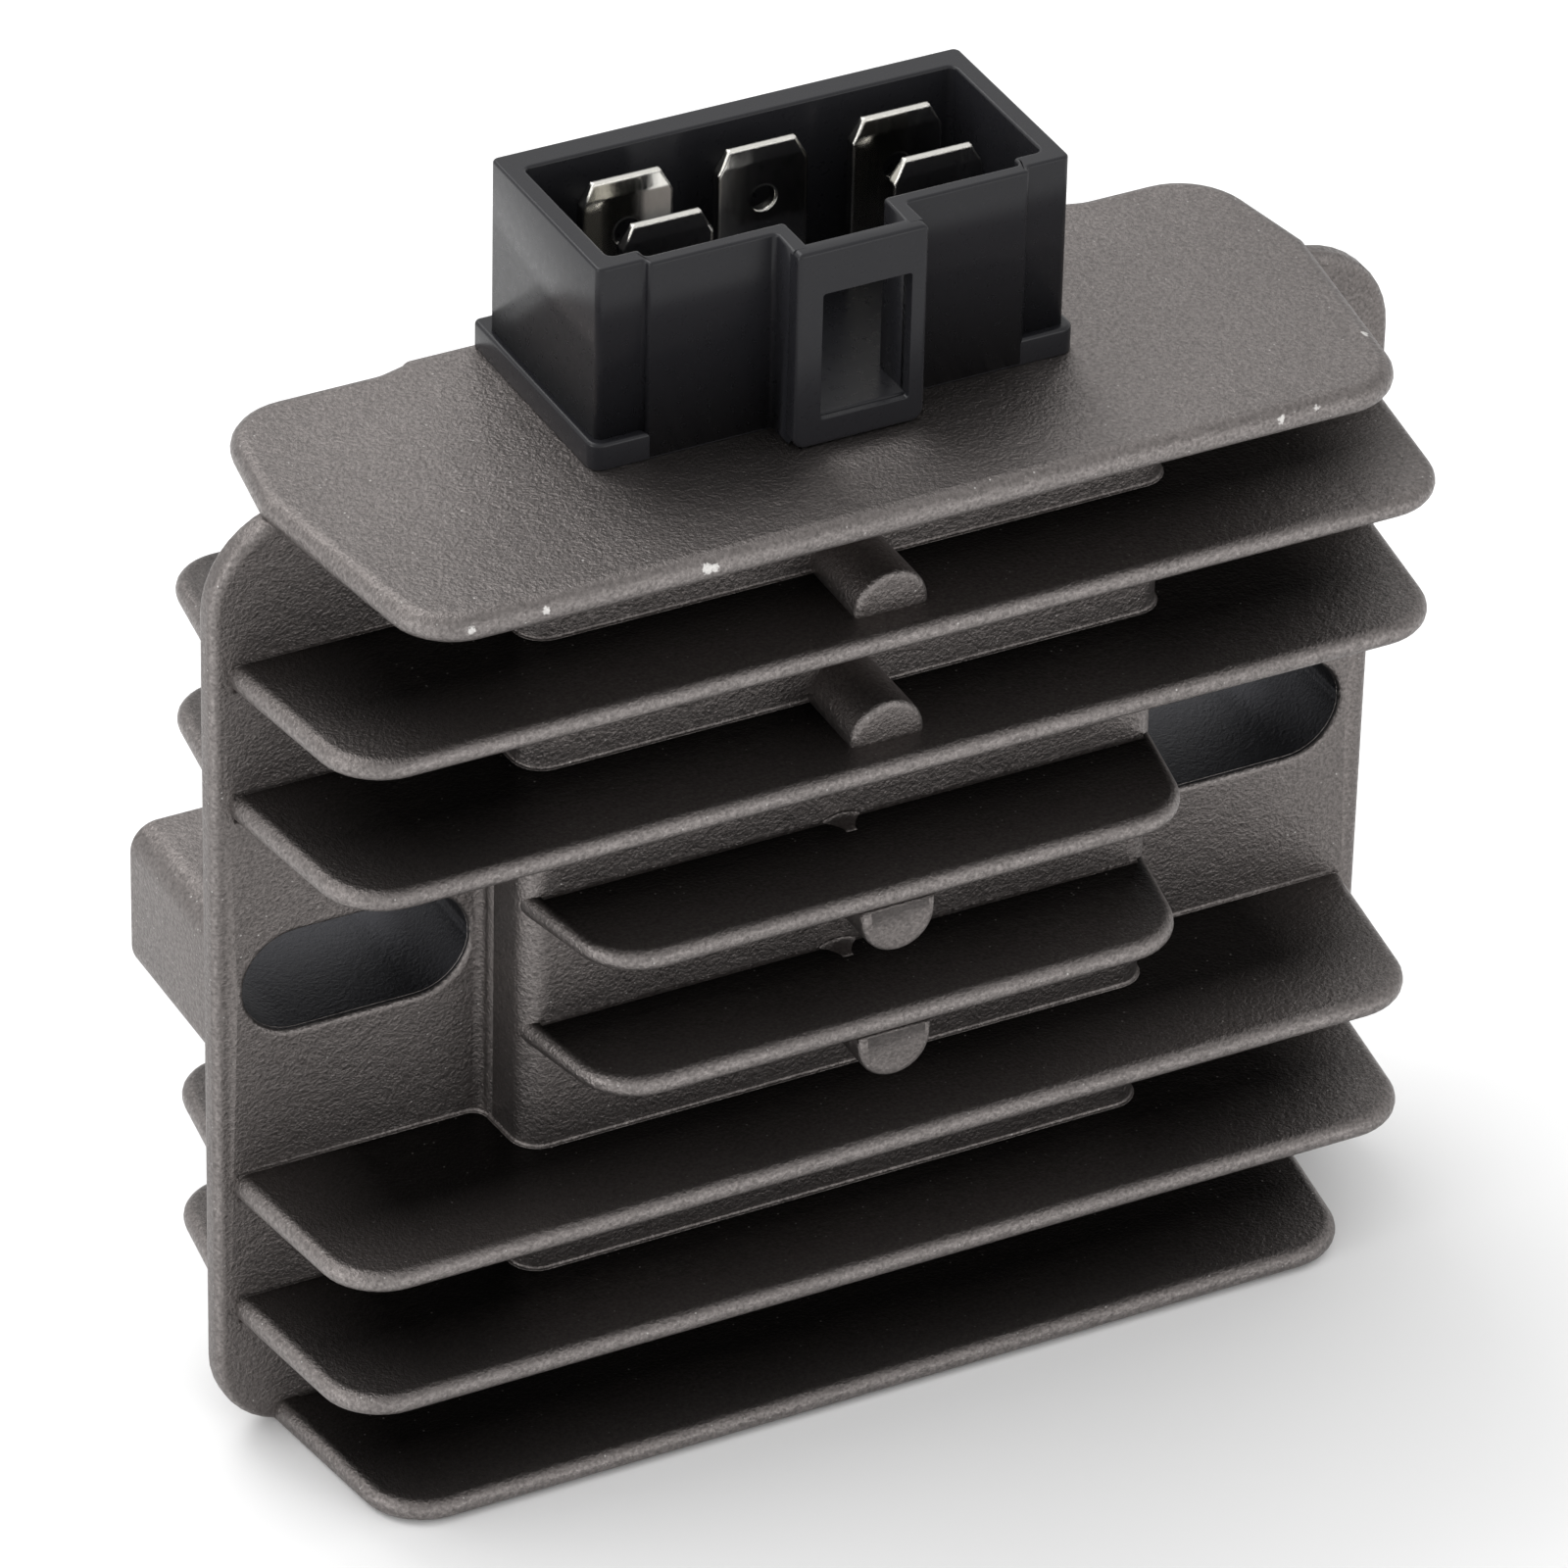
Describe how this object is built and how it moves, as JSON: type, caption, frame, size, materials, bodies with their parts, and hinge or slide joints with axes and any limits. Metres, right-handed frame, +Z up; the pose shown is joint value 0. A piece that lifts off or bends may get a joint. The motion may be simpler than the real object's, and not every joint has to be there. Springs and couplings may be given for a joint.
{
  "type": "voltage regulator rectifier",
  "caption": "Finned cast heat sink with slotted ears, a potted rectifier inside and a black flat-blade connector on top.",
  "frame": {"origin": "in the mounting face behind the ears, midway between the two slots", "axes": "+X along the fins and the line of slots, +Y back into the surface it is bolted to, +Z up towards the connector"},
  "size_m": [0.0842, 0.0305, 0.0852],
  "materials": {
    "cast_aluminium": "die cast and bead blasted, dark warm grey",
    "black_moulding": "black moulded nylon, satin",
    "tinned_brass": "bright tin plate on brass",
    "ceramic": "white alumina",
    "copper": "bare copper",
    "chip": "black moulding compound",
    "circuit_board": "green lacquered glass fibre board",
    "capacitor_can": "sleeved aluminium can",
    "resin": "black cast epoxy, smooth skin"
  },
  "bodies": {
    "root": {"heat_sink": "cast_aluminium", "connector_housing": "black_moulding", "phase_terminal_1": "tinned_brass", "phase_terminal_2": "tinned_brass", "phase_terminal_3": "tinned_brass", "positive_terminal": "tinned_brass", "negative_terminal": "tinned_brass", "substrate": "ceramic", "phase_pad_1": "copper", "phase_pad_2": "copper", "phase_pad_3": "copper", "diode_chip_1": "chip", "diode_chip_2": "chip", "diode_chip_3": "chip", "thyristor_chip_1": "chip", "thyristor_chip_2": "chip", "thyristor_chip_3": "chip", "positive_bus_bar": "copper", "negative_bus_bar": "copper", "phase_lead_1": "copper", "phase_lead_2": "copper", "phase_lead_3": "copper", "control_board": "circuit_board", "control_ic": "chip", "capacitor": "capacitor_can", "zener_diode": "chip", "gate_resistor_1": "chip", "gate_resistor_2": "chip", "gate_resistor_3": "chip", "gate_transistor_1": "chip", "gate_transistor_2": "chip", "potting_resin": "resin"}
  },
  "joints": []
}
